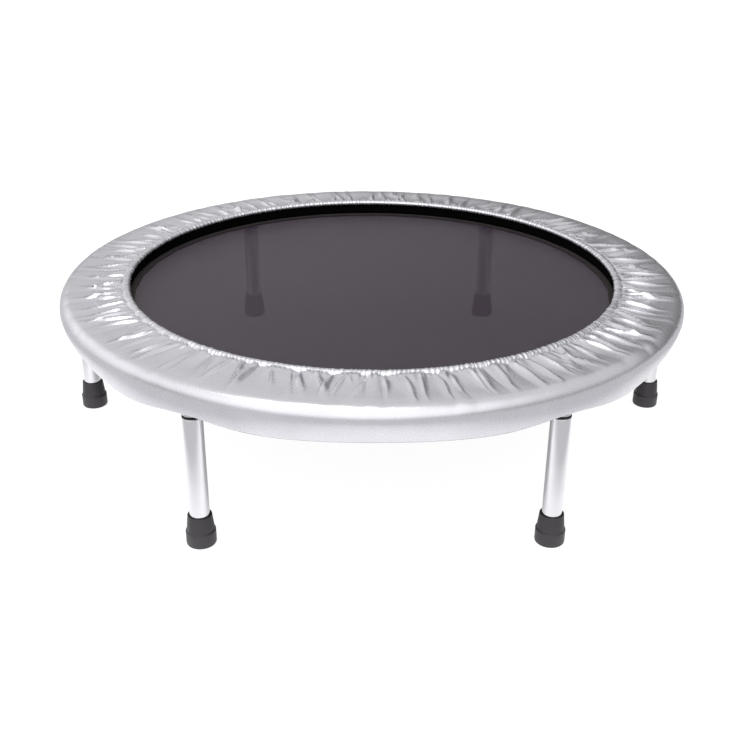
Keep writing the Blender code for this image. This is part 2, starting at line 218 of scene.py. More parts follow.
def draw_outline(points, closed):
    """Starts a piece with an outline of (x, z) points, drawn edge by edge. It is left in edit mode."""
    bpy.ops.mesh.primitive_plane_add(size=0.001, location=(points[0][0], 0, points[0][1]))
    bpy.ops.object.mode_set(mode="EDIT")
    bpy.ops.mesh.select_mode(type="VERT")
    bpy.ops.mesh.select_all(action="SELECT")
    bpy.ops.mesh.merge(type="CENTER")
    route = points + points[:1] if closed else points
    for (x, z), (next_x, next_z) in zip(route, route[1:]):
        step = (next_x - x, 0, next_z - z)
        bpy.ops.mesh.extrude_region_move(TRANSFORM_OT_translate={"value": step})
    if closed:
        join_points()


def join_points():
    """Joins the points that lie on each other."""
    bpy.ops.mesh.select_all(action="SELECT")
    bpy.ops.mesh.remove_doubles(threshold=JOIN_BELOW)


def face_outwards():
    """Turns every face outwards and leaves edit mode."""
    bpy.ops.mesh.select_all(action="SELECT")
    bpy.ops.mesh.normals_make_consistent(inside=False)
    bpy.ops.object.mode_set(mode="OBJECT")


def turned(name, outline, steps, finish, closed=False, smooth_below_deg=40.0):
    """A round piece: its outline spun about the Z axis."""
    draw_outline(outline, closed)
    bpy.ops.mesh.select_all(action="SELECT")
    bpy.ops.mesh.spin(steps=steps, angle=2 * pi, center=(0, 0, 0), axis=(0, 0, 1))
    join_points()
    face_outwards()
    return finished(bpy.context.object, name, finish, smooth_below_deg)


def drawn_out(name, outline, width, finish):
    """A flat outline, filled and drawn out to a width along Y, half to each side."""
    draw_outline(outline, closed=True)
    bpy.ops.mesh.edge_face_add()
    bpy.ops.transform.translate(value=(0, -width / 2, 0))
    bpy.ops.mesh.extrude_region_move(TRANSFORM_OT_translate={"value": (0, width, 0)})
    face_outwards()
    return finished(bpy.context.object, name, finish)


def wire(name, points, diameter, finish, closed=False, swell=None):
    """A wire along a route: a curve with a round bevel, made a mesh."""
    curve = bpy.data.curves.new(name, "CURVE")
    curve.dimensions = "3D"
    curve.bevel_depth = diameter / 2
    curve.bevel_resolution = 2
    curve.resolution_u = 1
    curve.use_fill_caps = not closed
    spline = curve.splines.new("POLY")
    spline.points.add(len(points) - 1)
    for k, (spot, point) in enumerate(zip(points, spline.points)):
        point.co = (*spot, 1.0)
        point.radius = swell[k] if swell else 1.0
    spline.use_cyclic_u = closed
    piece = bpy.data.objects.new(name, curve)
    bpy.context.scene.collection.objects.link(piece)
    select_only(piece)
    bpy.ops.object.convert(target="MESH")
    return finished(bpy.context.object, name, finish, 60.0)


def rounded_corners(path, bend, closed, steps=5):
    """A route with rounded corners: each is replaced by a short curve that starts a bend before it."""
    route = []
    count = len(path)
    for k, corner in enumerate(path):
        here = Vector(corner)
        if not closed and k in (0, count - 1):
            route.append(here)
            continue
        before = (Vector(path[k - 1]) - here).normalized() * bend
        after = (Vector(path[(k + 1) % count]) - here).normalized() * bend
        for step in range(steps + 1):
            share = step / steps
            route.append(here + before * (1 - share) ** 2 + after * share**2)
    return route


def strap_outline(path, thickness):
    """The closed outline of a strap of this thickness along a line of (x, z) points."""
    points = [Vector(p) for p in path]
    one_side = []
    other_side = []
    for k, point in enumerate(points):
        way = points[min(k + 1, len(points) - 1)] - points[max(k - 1, 0)]
        across = Vector((-way.y, way.x)).normalized() * thickness / 2
        one_side.append(point + across)
        other_side.append(point - across)
    return [tuple(p) for p in one_side + other_side[::-1]]


def arc(radius, start_deg, end_deg, steps, centre=(0.0, 0.0)):
    """Points of an arc, both ends included."""
    angles = [radians(start_deg + (end_deg - start_deg) * k / steps) for k in range(steps + 1)]
    return [(centre[0] + radius * cos(a), centre[1] + radius * sin(a)) for a in angles]


def copy_at(pattern, name, place):
    """A copy of a piece with its own mesh, put at a place."""
    twin = pattern.copy()
    twin.data = pattern.data.copy()
    twin.data.transform(place)
    twin.name = name
    twin.data.name = name
    bpy.context.scene.collection.objects.link(twin)
    return twin


def repeat(pattern, name, places, finish_piece):
    """Numbered copies of a piece, one at each place. The pattern itself is removed."""
    for number, place in enumerate(places, 1):
        finish_piece(copy_at(pattern, name % number, place))
    bpy.data.objects.remove(pattern)


# Finishes. The groups put out heights and masks, and each material has its own shader.


def give(tree, socket, value):
    """Sets an input socket to a constant, or links an output to it."""
    if isinstance(value, bpy.types.NodeSocket):
        tree.links.new(value, socket)
    else:
        socket.default_value = value


def add_node(tree, kind, inputs=None, **settings):
    """A node with its settings, whose inputs are constants or the outputs of other nodes."""
    made = tree.nodes.new(kind)
    for key, value in settings.items():
        setattr(made, key, value)
    for key, value in (inputs or {}).items():
        give(tree, made.inputs[key], value)
    return made


def sum_of(tree, operation, first, second=0.0, third=0.0):
    """The output of one step of arithmetic."""
    return add_node(tree, "ShaderNodeMath", {0: first, 1: second, 2: third}, operation=operation).outputs[0]


def ramp(tree, value, start, end, first, last, **settings):
    """A value that runs from first to last while another one runs from start to end."""
    limits = {"Value": value, "From Min": start, "From Max": end, "To Min": first, "To Max": last}
    return add_node(tree, "ShaderNodeMapRange", limits, **settings).outputs["Result"]


def blend(tree, share, first, last):
    """A value that runs from first to last with a share from 0 to 1."""
    return add_node(tree, "ShaderNodeMix", {0: share, 2: first, 3: last}).outputs[0]


def blend_colours(tree, share, first, last):
    """The same for colours, each an output or its red, green and blue."""
    first, last = (end if isinstance(end, bpy.types.NodeSocket) else (*end, 1.0) for end in (first, last))
    return add_node(tree, "ShaderNodeMix", {0: share, 6: first, 7: last}, data_type="RGBA").outputs[2]


def noise(tree, vector, scale, **inputs):
    """Soft noise from 0 to 1."""
    inputs = {"Vector": vector, "Scale": scale, "Detail": 2.0, **inputs}
    return add_node(tree, "ShaderNodeTexNoise", inputs).outputs["Fac"]


def raised(tree, height, distance, under=None, strength=1.0):
    """The normal of a surface bumped by a height, over another bump if there is one."""
    inputs = {"Height": height, "Distance": distance, "Strength": strength}
    if under:
        inputs["Normal"] = under
    return add_node(tree, "ShaderNodeBump", inputs).outputs["Normal"]


def new_group(name, inputs, outputs):
    """An empty node group with named sockets: (the group, the values it is given, its results)."""
    group = bpy.data.node_groups.new(name, "ShaderNodeTree")
    for label, (kind, value) in inputs.items():
        socket = group.interface.new_socket(label, in_out="INPUT", socket_type=kind)
        if value is not None:
            socket.default_value = value
    for label in outputs:
        group.interface.new_socket(label, in_out="OUTPUT", socket_type="NodeSocketFloat")
    return group, group.nodes.new("NodeGroupInput").outputs, group.nodes.new("NodeGroupOutput").inputs


def plain_weave():
    """Threads over and under each other: their Height, and Gaps, which is 1 in the holes between them."""
    group, given, result = new_group(
        "plain_weave",
        {"Vector": ("NodeSocketVector", None), "Pitch": ("NodeSocketFloat", 0.001)},
        ("Height", "Gaps"),
    )
    scaled = add_node(group, "ShaderNodeVectorMath", {0: given["Vector"]}, operation="SCALE")
    group.links.new(sum_of(group, "DIVIDE", 1.0, given["Pitch"]), scaled.inputs["Scale"])
    parts = add_node(group, "ShaderNodeSeparateXYZ", {0: scaled.outputs[0]}).outputs
    crowns = []
    steps = []
    for axis in ("X", "Y"):
        wave = sum_of(group, "SINE", sum_of(group, "MULTIPLY", parts[axis], pi))
        crowns.append(sum_of(group, "ABSOLUTE", wave))
        steps.append(sum_of(group, "FLOOR", parts[axis]))
    over = sum_of(group, "PINGPONG", sum_of(group, "ADD", *steps), 1.0)
    group.links.new(blend(group, over, *crowns), result["Height"])

    # A hole is where neither thread is as high as these shares of its crown: its rim and its clear middle.
    rim = 0.76
    clear = 0.60
    gaps = ramp(group, sum_of(group, "MAXIMUM", *crowns), rim, clear, 0.0, 1.0)
    group.links.new(gaps, result["Gaps"])
    return group


def uneven_patches():
    """Soft Patches of a given size and a finer Grain, from 0 to 1: handling marks, dust, uneven coating."""
    group, given, result = new_group(
        "uneven_patches",
        {"Vector": ("NodeSocketVector", None), "Size": ("NodeSocketFloat", 0.05)},
        ("Patches", "Grain"),
    )
    scale = sum_of(group, "DIVIDE", 1.0, given["Size"])
    patches = noise(group, given["Vector"], scale, Detail=3.0, Roughness=0.55)
    group.links.new(patches, result["Patches"])
    grains_per_patch = 22.0
    grain = noise(group, given["Vector"], sum_of(group, "MULTIPLY", scale, grains_per_patch))
    group.links.new(grain, result["Grain"])
    return group


def new_finish(name):
    """A new material with a Principled shader: (the material, its nodes, its Object coordinates)."""
    finish = bpy.data.materials.new(name)
    finish.use_nodes = True
    tree = finish.node_tree
    return finish, tree, add_node(tree, "ShaderNodeTexCoord").outputs["Object"]


def shaded(finish, **values):
    """A material whose shader's own sockets are set to constants or fed by the outputs of other nodes."""
    sockets = finish.node_tree.nodes["Principled BSDF"].inputs
    for label, value in values.items():
        give(finish.node_tree, sockets[label.replace("_", " ").title().replace("Ior", "IOR")], value)
    return finish


def place_group(tree, group, **inputs):
    """The outputs of one of the shared groups, placed in a material with its own values."""
    return add_node(tree, "ShaderNodeGroup", inputs, node_tree=group).outputs


def vary(tree, mask, low, high):
    """A value that runs between two limits over the surface, as noise does between about 0.3 and 0.7."""
    return ramp(tree, mask, 0.3, 0.7, low, high)


WEAVE = plain_weave()
PATCHES = uneven_patches()


def silver_cloth():
    """Silver coated cloth: bright, satin, with a fine weave under the coating and small crumples in it.

    Its inner side, marked on the mesh, is dull near-black: painted shade for the dark under the skirt.
    Along the hem's seam it is finely shirred.
    """
    finish, tree, coords = new_finish("silver_cloth")
    flat_cloth = coords.node.outputs["UV"]
    back = add_node(tree, "ShaderNodeAttribute", attribute_name="inner_face").outputs["Fac"]
    front = sum_of(tree, "SUBTRACT", 1.0, back)
    patches = place_group(tree, PATCHES, Vector=coords, Size=0.045)
    weave = place_group(tree, WEAVE, Vector=flat_cloth, Pitch=0.0006)
    silver = blend_colours(tree, patches["Patches"], (0.64, 0.64, 0.67), (0.76, 0.755, 0.79))
    gloss = vary(tree, patches["Grain"], 0.22, 0.31)
    crumples = noise(tree, coords, 130.0)
    from_seam = add_node(tree, "ShaderNodeSeparateXYZ", {0: flat_cloth}).outputs["Y"]
    at_hem = ramp(tree, from_seam, *SHIRRED, 1.0, 0.0)
    drawn = add_node(tree, "ShaderNodeMapping", {"Vector": flat_cloth, "Scale": (1.0, 0.45, 1.0)})
    shirring = sum_of(tree, "MULTIPLY", noise(tree, drawn.outputs[0], 340.0), at_hem)
    surface = raised(tree, crumples, 0.0004, strength=0.05)
    surface = raised(tree, shirring, 0.0012, surface, strength=0.6)
    surface = raised(tree, weave["Height"], 0.00001, surface, strength=0.12)
    return shaded(
        finish,
        # The inner side's near-black colour is painted shade for the dark under the skirt.
        base_color=blend_colours(tree, back, silver, (0.006, 0.006, 0.006)),
        metallic=sum_of(tree, "MULTIPLY", front, 0.82),
        roughness=sum_of(tree, "MULTIPLY_ADD", back, 0.6, gloss),
        normal=surface,
    )


# Darker and paler colours of the mat and of the feet.
PLUM_BLACK = ((0.027, 0.016, 0.028), (0.036, 0.022, 0.037))
CHARCOAL = ((0.026, 0.023, 0.026), (0.046, 0.041, 0.046))


def mesh_cloth():
    """Fine dark mesh of the mat: smooth threads with small holes, so that what lies below shows faintly.

    Its lower face, marked on the mesh, has the same cover all over instead of holes of its own.
    """
    finish, tree, coords = new_finish("mesh_cloth")
    weave = place_group(tree, WEAVE, Vector=coords, Pitch=0.0011)
    patches = place_group(tree, PATCHES, Vector=coords, Size=0.030)
    solid = sum_of(tree, "SUBTRACT", 1.0, sum_of(tree, "MULTIPLY", weave["Gaps"], 0.90))
    back = add_node(tree, "ShaderNodeAttribute", attribute_name="inner_face").outputs["Fac"]
    return shaded(
        finish,
        base_color=blend_colours(tree, patches["Patches"], *PLUM_BLACK),
        roughness=0.34,
        specular_ior_level=0.25,
        alpha=blend(tree, back, solid, 0.85),
        normal=raised(tree, weave["Height"], 0.0002, strength=0.6),
    )


def webbing(name, dark, light, shine=0.25):
    """Black webbing: ribbed along its length, worn a little grey on its raised threads."""
    finish, tree, coords = new_finish(name)
    weave = place_group(tree, WEAVE, Vector=coords, Pitch=0.0012)
    patches = place_group(tree, PATCHES, Vector=coords, Size=0.020)
    return shaded(
        finish,
        base_color=blend_colours(tree, weave["Height"], dark, light),
        roughness=vary(tree, patches["Patches"], 0.70, 0.90),
        specular_ior_level=shine,
        normal=raised(tree, weave["Height"], 0.0003),
    )


def plated_steel(name, dark, light, smooth, rough, streak):
    """Plated steel: bright, faintly streaked along the tube or the wire, with a few duller patches."""
    finish, tree, coords = new_finish(name)
    patches = place_group(tree, PATCHES, Vector=coords, Size=0.030)
    stretched = add_node(tree, "ShaderNodeMapping", {"Vector": coords, "Scale": (1.0, 1.0, 0.04)})
    return shaded(
        finish,
        base_color=blend_colours(tree, patches["Patches"], dark, light),
        metallic=1.0,
        roughness=vary(tree, patches["Grain"], smooth, rough),
        normal=raised(tree, noise(tree, stretched.outputs[0], 900.0), streak),
    )


def moulded(name, patch_size, dark, light, smooth, rough, shine=0.5, grain=None):
    """Moulded rubber or plastic: a soft sheen, duller and dusty in patches, and perhaps a fine grain."""
    finish, tree, coords = new_finish(name)
    patches = place_group(tree, PATCHES, Vector=coords, Size=patch_size)
    if grain:
        shaded(finish, normal=raised(tree, patches["Grain"], grain))
    return shaded(
        finish,
        base_color=blend_colours(tree, patches["Patches"], dark, light),
        roughness=vary(tree, patches["Patches"], smooth, rough),
        specular_ior_level=shine,
    )


def pale_elastic():
    """Pale woven elastic with fine ribs."""
    finish, tree, coords = new_finish("pale_elastic")
    weave = place_group(tree, WEAVE, Vector=coords, Pitch=0.0009)
    return shaded(
        finish,
        base_color=blend_colours(tree, weave["Height"], (0.50, 0.50, 0.48), (0.78, 0.78, 0.75)),
        roughness=0.8,
        sheen_weight=0.2,
        normal=raised(tree, weave["Height"], 0.0003),
    )


SILVER_CLOTH = silver_cloth()
MESH_CLOTH = mesh_cloth()
# Near-black and all but without sheen: painted shade for the gap under the hem.
PAINTED_SHADE_BLACK = webbing("painted_shade_black", (0.001, 0.001, 0.001), (0.003, 0.003, 0.003), shine=0.02)
BAND_WEBBING = webbing("band_webbing", (0.016, 0.013, 0.013), (0.045, 0.038, 0.036))
TAB_WEBBING = webbing("tab_webbing", (0.006, 0.006, 0.006), (0.020, 0.019, 0.019))
BRIGHT_TUBE = plated_steel("bright_tube", (0.72, 0.71, 0.73), (0.80, 0.79, 0.81), 0.12, 0.20, 0.00001)
RING_STEEL = plated_steel("ring_steel", (0.52, 0.53, 0.55), (0.66, 0.67, 0.70), 0.28, 0.42, 0.00002)
SPRING_STEEL = plated_steel("spring_steel", (0.50, 0.51, 0.53), (0.68, 0.69, 0.71), 0.20, 0.34, 0.00001)
FOOT_RUBBER = moulded("foot_rubber", 0.012, *CHARCOAL, 0.38, 0.58, shine=0.45, grain=0.00012)
BLACK_PLASTIC = moulded("black_plastic", 0.008, (0.010, 0.010, 0.010), (0.022, 0.022, 0.022), 0.42, 0.58)
PALE_ELASTIC = pale_elastic()


# Cloth: sheets made of rows of points, each row running once round the middle.


def ring_row(turn, radius, height):
    """A row of points round the middle. Its radius and its height may change with the turn."""
    return np.stack([radius * np.cos(turn), radius * np.sin(turn), height + 0 * turn], axis=1)


def cloth_sheet(name, rows, width_at, length, finish):
    """A sheet from rows of (x, y, z) points round the middle, with a flat layout in metres for its weave.

    A row has as many points as the row before it, or half as many.
    """
    faces = []
    spots = []
    start = 0
    for row, next_row, near, far in zip(rows, rows[1:], width_at, width_at[1:]):
        count = len(row)
        next_count = len(next_row)
        next_start = start + count
        share = count // next_count
        for k in range(next_count):
            ends = [next_start + k, next_start + (k + 1) % next_count]
            faces.append(ends + [start + (k * share + step) % count for step in range(share, -1, -1)])
            spots += [k / next_count * length, far, (k + 1) / next_count * length, far]
            for step in range(share, -1, -1):
                spots += [(k * share + step) / count * length, near]
        start = next_start
    mesh = bpy.data.meshes.new(name)
    mesh.from_pydata(np.concatenate(rows).tolist(), [], faces)
    layout = mesh.uv_layers.new(name="flat_cloth")
    layout.data.foreach_set("uv", spots)
    piece = bpy.data.objects.new(name, mesh)
    bpy.context.scene.collection.objects.link(piece)
    return finished(piece, name, finish, 180.0)


def give_thickness(piece, thickness):
    """Turns a sheet into cloth with a wall, drawn inwards from its outer face, and marks its inner side."""
    outer_faces = len(piece.data.polygons)
    wall = piece.modifiers.new("wall", "SOLIDIFY")
    wall.thickness = thickness
    wall.offset = -1.0
    select_only(piece)
    bpy.ops.object.modifier_apply(modifier=wall.name)
    back = piece.data.attributes.new("inner_face", "FLOAT", "FACE")
    back.data.foreach_set("value", [float(k >= outer_faces) for k in range(len(piece.data.polygons))])


def uneven(turn, waves, seed):
    """A smooth random line round the ring, from -1 to 1, that holds up to so many waves."""
    dice = np.random.default_rng(seed)
    line = np.zeros_like(turn)
    for k in range(1, waves + 1):
        line += dice.normal() * np.cos(k * turn + dice.uniform(0, 2 * pi))
    return line / np.abs(line).max()


def swayed(turn, out):
    """The turns at a distance out from the stitches, shifted this way and that, so that folds lean."""
    return turn + 0.25 * uneven(turn, waves=30, seed=11) * out


def folds(turn, count, seed):
    """Rounded folds side by side, each of its own width: (their shape, 0 to 1, and each one's number)."""
    dice = np.random.default_rng(seed)
    valleys = (np.arange(count) + dice.uniform(-0.42, 0.42, count)) * 2 * pi / count
    edges = np.append(valleys, valleys[0] + 2 * pi)
    place = valleys[0] + (turn - valleys[0]) % (2 * pi)
    number = np.clip(np.searchsorted(edges, place, side="right") - 1, 0, count - 1)
    share = (place - edges[number]) / (edges[number + 1] - edges[number])
    return np.sin(pi * share), number


# Places on the skirt: its flat top, its lower edge at the legs, its hem's casing and the stitches.
SKIRT_TOP = RING_HEIGHT + TUBE_RADIUS + TOUCH + OFF_RING
SKIRT_EDGE_AT_LEGS = RING_RADIUS + LEG_RADIUS + OFF_LEGS
CASING_RADIUS = HEM_RADIUS - HEM_DRAW_IN + CASING_WIDTH / 2
CASING_MIDDLE = SKIRT_TOP + HEM_RISE - CASING_HEIGHT / 2
STITCH_RADIUS = CASING_RADIUS + CASING_WIDTH / 2

# Gathers at the hem: how many, how high they stand at the stitches, and how far out they reach. Billows and
# puckers are rounded folds side by side. Tucks are single pinched ridges and have a width too.
BILLOWS = {"count": 62, "tall": 0.0044, "reach": 0.0900, "seed": 20}
PUCKERS = {"count": 400, "tall": 0.0018, "reach": 0.0150, "seed": 22}
TUCKS = {"count": 118, "tall": 0.0056, "reach": 0.0710, "width": 0.0040, "seed": 9}
SMALL_TUCKS = {"count": 150, "tall": 0.0018, "reach": 0.0240, "width": 0.0030, "seed": 8}

# How far out the shoulder starts, and how high the billows still stand on it.
SHOULDER_OUT = 0.070
SHOULDER_RELIEF = 0.0014

# Between the stitches and the shoulder the top falls by TOP_RISE, and at the stitches it is pulled down.
TOP_RISE = HEM_RISE - 0.0018
TOP_RISE_REACH = 0.060
STITCH_DIP = 0.0016
STITCH_DIP_REACH = 0.004

# The skirt's rows of points: turns round the casing, distances from the stitches over the top, shares of the
# way round the shoulder and down the side, and how far in and up the lower edge's fold and its end lie.
CASING_ROWS_DEG = np.linspace(-20, -345, 9)
TOP_ROWS = (0.0010, 0.0026, 0.0046, 0.0072, 0.0104, 0.0142, 0.0188, 0.0242, 0.0304, 0.0374, 0.0452, 0.0540)
SHOULDER_ROWS = (0.0, 0.2, 0.4, 0.6, 0.8, 1.0)
SIDE_ROWS = (0.2, 0.4, 0.6, 0.8, 0.96, 1.0)
EDGE_FOLD = ((0.0012, 0.0001), (0.0018, 0.0060))


def add_folds(height, turn, out, count, tall, reach, seed):
    """Adds rounded folds with sharp creases between them, which fade out away from the stitches."""
    shape, number = folds(turn, count, seed)
    dice = np.random.default_rng(seed + 100)
    own_tall = dice.uniform(0.4, 1.0, count)[number] * tall
    own_reach = dice.uniform(0.55, 1.0, count)[number] * reach
    fade = np.clip(1.0 - out / own_reach, 0.0, 1.0)
    height += own_tall * (shape**0.8 - 0.6) * fade**1.2


def add_tucks(height, turn, out, count, tall, reach, width, seed):
    """Adds pinched ridges: leaf-shaped from above, leaning and bent a little, each with one steep side.

    At the left and the right the steep side is the one that faces the front.
    """
    dice = np.random.default_rng(seed)
    steep = 1.9
    gentle = 0.8
    for k in range(count):
        place = (k + dice.uniform(-0.30, 0.30)) * 2 * pi / count
        own_tall = tall * dice.uniform(0.55, 1.0)
        own_reach = reach * dice.uniform(0.72, 1.0)
        own_width = width * dice.uniform(0.7, 1.2)
        lean = dice.uniform(-0.42, 0.42)
        bend = dice.uniform(-0.35, 0.35)
        steep_side = dice.choice((-1, 1, 1)) if abs(cos(place)) < 0.62 else -np.sign(cos(place))
        share = (out - dice.uniform(-0.002, 0.005)) / own_reach
        if not 0.0 < share < 1.0:
            continue
        leaf = sin(pi * share**0.86)
        across = ((turn - place + pi) % (2 * pi) - pi) * (STITCH_RADIUS + out)
        across = (across - (lean + bend * share) * out) * steep_side / (own_width * (0.55 + 0.45 * leaf))
        across = np.abs(np.where(across > 0, across * steep, across * gentle))
        height += own_tall * leaf * np.exp(-(across**1.5))


def gathered(turn, out):
    """Height of the gathers over the flat cloth at a distance out from the stitches."""
    height = np.zeros_like(turn)
    for form in (BILLOWS, PUCKERS):
        add_folds(height, swayed(turn, out), out, **form)
    for form in (TUCKS, SMALL_TUCKS):
        add_tucks(height, turn, out, **form)
    return height - height.mean()


def between_legs(turn):
    """0 over each leg and 1 in the middle of each bay."""
    return 0.5 - 0.5 * np.cos(LEG_COUNT * (turn - radians(FIRST_LEG_DEG)))


def skirt_edge_radius(turn):
    """Outer radius of the lower edge: over the legs, and drawn in by its elastic between them."""
    return SKIRT_EDGE_AT_LEGS - EDGE_DRAW_IN * between_legs(turn)


def skirt_edge_height(turn):
    """Height of the lower edge, which lifts a little over each leg, so that the leg's washer shows."""
    bay = 2 * pi / LEG_COUNT
    from_leg = ((turn - radians(FIRST_LEG_DEG) + bay / 2) % bay - bay / 2) * RING_RADIUS
    lift = EDGE_LIFT * np.exp(-((from_leg / EDGE_LIFT_REACH) ** 2))
    return SKIRT_LOW.z + lift - EDGE_DROP * between_legs(turn)


def skirt_rows():
    """The skirt's rows, from the casing's seam to the lower edge, and their widths from that seam."""
    fine_turn = np.arange(SKIRT_COLUMNS) * 2 * pi / SKIRT_COLUMNS
    rows = []
    widths = []

    def add_row(turn, radius, height):
        row = ring_row(turn, radius, height)
        before = rows[-1][:: len(rows[-1]) // len(row)] if rows else row
        last_width = widths[-1] if rows else 0.0
        widths.append(last_width + float(np.linalg.norm(row - before, axis=1).mean()))
        rows.append(row)

    # The casing is puffed out between its puckers.
    pucker, number = folds(fine_turn, PUCKERS["count"], PUCKERS["seed"])
    dice = np.random.default_rng(42)
    pucker = pucker**0.85 * dice.uniform(0.35, 1.0, PUCKERS["count"])[number]
    swell = 0.90 + 0.32 * pucker + 0.05 * uneven(fine_turn, waves=120, seed=5)
    for angle in np.radians(CASING_ROWS_DEG):
        radius = CASING_RADIUS + CASING_WIDTH / 2 * swell * cos(angle)
        add_row(fine_turn, radius, CASING_MIDDLE + CASING_HEIGHT / 2 * swell * sin(angle))

    for out in TOP_ROWS:
        dip = STITCH_DIP * max(0.0, 1.0 - out / STITCH_DIP_REACH) ** 2
        rise = TOP_RISE * max(0.0, 1.0 - out / TOP_RISE_REACH) ** 1.5
        add_row(fine_turn, STITCH_RADIUS + out, SKIRT_TOP + rise - dip + gathered(fine_turn, out))

    # The shoulder runs round the ring to the turn at which the cloth leaves it for the lower edge.
    turn = fine_turn[::2]
    over_ring = SKIRT_TOP - RING_HEIGHT
    edge = skirt_edge_radius(turn)
    low = skirt_edge_height(turn)
    side = RING_HEIGHT - low
    leaving = np.arctan2(-side, edge - RING_RADIUS)
    leaving = leaving + np.arccos(over_ring / np.hypot(edge - RING_RADIUS, side)) + SIDE_SWELL
    drape = folds(swayed(turn, SHOULDER_OUT), BILLOWS["count"], BILLOWS["seed"])[0]
    drape *= 0.5 + 0.5 * uneven(turn, waves=25, seed=12)
    for share in SHOULDER_ROWS:
        angle = pi / 2 + (leaving - pi / 2) * share
        reach = over_ring + SHOULDER_RELIEF * np.maximum(drape, 0.0) * (1.0 - share) ** 1.5
        add_row(turn, RING_RADIUS + reach * np.cos(angle), RING_HEIGHT + reach * np.sin(angle))

    # The side is a curve that starts the way the shoulder ends.
    leave_radius = RING_RADIUS + over_ring * np.cos(leaving)
    leave_height = RING_HEIGHT + over_ring * np.sin(leaving)
    half = np.hypot(edge - leave_radius, low - leave_height) / 2
    swell_radius = leave_radius + half * np.sin(leaving)
    swell_height = leave_height - half * np.cos(leaving)
    for share in SIDE_ROWS:
        first = (1 - share) ** 2
        middle = 2 * share * (1 - share)
        last = share**2
        radius = first * leave_radius + middle * swell_radius + last * edge
        add_row(turn, radius, first * leave_height + middle * swell_height + last * low)
    for inwards, up in EDGE_FOLD:
        add_row(turn, edge - inwards, low + up)
    return rows, widths


def make_skirt():
    """The silver cover in one sheet of cloth, gathered on the hem's elastic."""
    rows, widths = skirt_rows()
    flat_length = 2 * pi * (RING_RADIUS + SKIRT_TOP - RING_HEIGHT)
    skirt = cloth_sheet("skirt", rows, widths, flat_length, SILVER_CLOTH)
    give_thickness(skirt, CLOTH)
    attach(skirt, "frame")
    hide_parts("skirt_cover")


def make_shade_sheet_under_hem():
    """A near-black strip under the hem, painted shade that closes the view between the hem and the mat's
    edge.
    """
    turn = np.arange(SKIRT_COLUMNS // 4) * 8 * pi / SKIRT_COLUMNS
    top = CASING_MIDDLE - CASING_HEIGHT * 0.40
    bottom = MAT_HEIGHT + MAT_THICKNESS / 2 + TOUCH + BAND_THICKNESS + TOUCH
    inside_band_edge = 0.0018
    most_sway = 0.0006
    most_lift = 0.0002
    over_band = BAND_OUTER * cos(pi / SPRING_COUNT) - inside_band_edge
    sway = most_sway * uneven(turn, waves=70, seed=31)
    lift = most_lift / 2 * (1 + uneven(turn, waves=40, seed=32))
    rows = []
    widths = []
    for share in (0.0, 0.25, 0.5, 0.75, 1.0):
        radius = CASING_RADIUS + (over_band - CASING_RADIUS) * share + sway * share
        rows.append(ring_row(turn, radius, top + (bottom - top) * share + lift * share))
        widths.append((top - bottom) * share)
    # This near-black sheet is painted shade, filling the view under the hem.
    sheet_of_shade = cloth_sheet("hem_shade_sheet", rows, widths, 2 * pi * CASING_RADIUS, PAINTED_SHADE_BLACK)
    give_thickness(sheet_of_shade, LINING)
    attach(sheet_of_shade, "frame")


def make_elastics():
    """The elastic in the hem's casing and the one inside the lower edge."""
    half_width = 0.0030
    half_height = 0.0014
    corner = 0.0007
    outline = []
    for side_x, side_z, start in ((1, 1, 0), (-1, 1, 90), (-1, -1, 180), (1, -1, 270)):
        x = CASING_RADIUS + side_x * (half_width - corner)
        z = CASING_MIDDLE + side_z * (half_height - corner)
        outline += arc(corner, start, start + 90, 3, (x, z))
    hem = turned("hem_elastic", outline, RING_STEPS, PALE_ELASTIC, closed=True)
    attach(hem, "frame")
    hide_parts("skirt_hem_elastic")

    thick = 0.0012
    tall = 0.0045
    behind_cloth = 0.0030
    over_edge = 0.0010
    turn = np.arange(RING_STEPS) * 2 * pi / RING_STEPS
    outside = skirt_edge_radius(turn) - behind_cloth
    below = skirt_edge_height(turn) + over_edge
    section = ((0.0, 0.0), (0.0, tall), (thick, tall), (thick, 0.0), (0.0, 0.0))
    rows = [ring_row(turn, outside - inwards, below + up) for inwards, up in section]
    widths = (0.0, tall, tall + thick, 2 * tall + thick, 2 * tall + 2 * thick)
    lower = cloth_sheet("edge_elastic", rows, widths, 2 * pi * RING_RADIUS, PALE_ELASTIC)
    bpy.ops.object.mode_set(mode="EDIT")
    join_points()
    face_outwards()
    bpy.ops.object.shade_smooth_by_angle(angle=radians(40))
    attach(lower, "frame")
    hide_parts("skirt_edge_elastic")


def make_mat():
    """The mesh mat: a taut sheet with a corner at each spring."""
    count = SPRING_COUNT * 4
    turn = np.arange(count) * 2 * pi / count
    side = 2 * pi / SPRING_COUNT
    from_middle = turn % side - side / 2
    edge = MAT_RADIUS * cos(side / 2) / np.cos(from_middle)
    rows = []
    widths = []
    innermost = 0.03
    for share in (innermost, 0.14, 0.27, 0.40, 0.53, 0.66, 0.78, 0.88, 0.95, 0.985, 1.0):
        rows.append(ring_row(turn, edge * share, MAT_HEIGHT + MAT_THICKNESS / 2))
        widths.append(MAT_RADIUS * (1 - share))
    mat = cloth_sheet("mat", rows, widths, 2 * pi * MAT_RADIUS, MESH_CLOTH)

    # The hole inside the innermost row is filled with one face.
    bpy.ops.object.mode_set(mode="EDIT")
    bpy.ops.mesh.select_mode(type="EDGE")
    bpy.ops.mesh.select_all(action="DESELECT")
    bpy.ops.object.mode_set(mode="OBJECT")
    for line in mat.data.edges:
        ends = [mat.data.vertices[k].co for k in line.vertices]
        line.select = all(hypot(end.x, end.y) < 1.1 * innermost * MAT_RADIUS for end in ends)
    bpy.ops.object.mode_set(mode="EDIT")
    bpy.ops.mesh.edge_face_add()
    face_outwards()
    give_thickness(mat, MAT_THICKNESS)
    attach(mat, "mat")
    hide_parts("jumping_mat")


